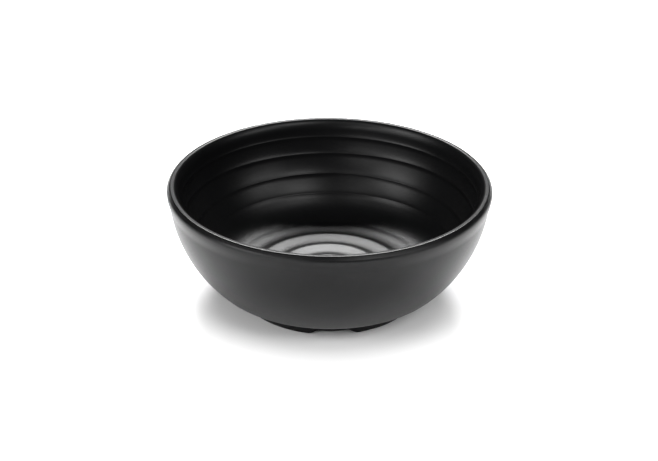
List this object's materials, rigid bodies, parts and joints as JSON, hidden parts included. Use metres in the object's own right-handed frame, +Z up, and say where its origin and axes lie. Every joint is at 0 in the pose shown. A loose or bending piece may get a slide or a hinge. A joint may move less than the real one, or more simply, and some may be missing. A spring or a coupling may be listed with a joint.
{
  "type": "bowl",
  "caption": "Deep round tableware bowl in matte black plastic, with a rolled lip, soft finger rings round the inside wall, a rippled floor and a slim notched foot ring.",
  "frame": {"origin": "on the bowl's axis, in the plane the foot ring rests on", "axes": "+Z up along the bowl's axis; -Y is the front, the side that one foot notch faces; +X is to the right when seen from the front"},
  "size_m": [0.16, 0.16, 0.0614],
  "materials": {
    "matte_black": "matte, with a fine moulded grain"
  },
  "bodies": {
    "root": {"bowl": "matte_black"}
  },
  "joints": []
}
